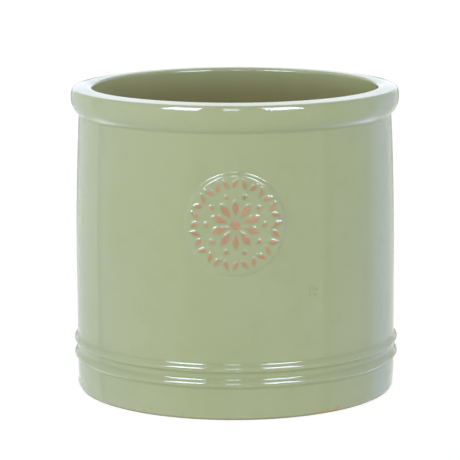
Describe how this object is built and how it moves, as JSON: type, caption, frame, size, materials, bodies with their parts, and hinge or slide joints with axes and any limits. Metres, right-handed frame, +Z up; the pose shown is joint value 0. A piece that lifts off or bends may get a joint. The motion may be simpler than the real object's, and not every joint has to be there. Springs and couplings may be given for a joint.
{
  "type": "glazed cylinder pot",
  "caption": "Straight-sided glazed earthenware pot with a rolled rim, beaded foot and a round badge, for holding brushes, tools or a plant.",
  "frame": {"origin": "centre of the foot, on the ground", "axes": "+Z up along the pot's axis, the badge faces -Y, +X to the right when facing the badge"},
  "size_m": [0.22, 0.22, 0.2053],
  "materials": {
    "terracotta": "bare fired terracotta, matt",
    "bare_relief": "bare clay wiped clear of glaze, matt",
    "green_glaze": "gloss sage-green glaze over terracotta"
  },
  "bodies": {
    "root": {"base_slab": "terracotta", "wall_cylinder": "terracotta", "rim_band": "terracotta", "lower_bead": "terracotta", "upper_bead": "terracotta", "badge_pad": "terracotta", "badge_leaves": "bare_relief", "badge_petals": "bare_relief", "badge_berries": "bare_relief", "badge_boss": "bare_relief", "outer_glaze": "green_glaze", "inner_glaze": "green_glaze"}
  },
  "joints": []
}
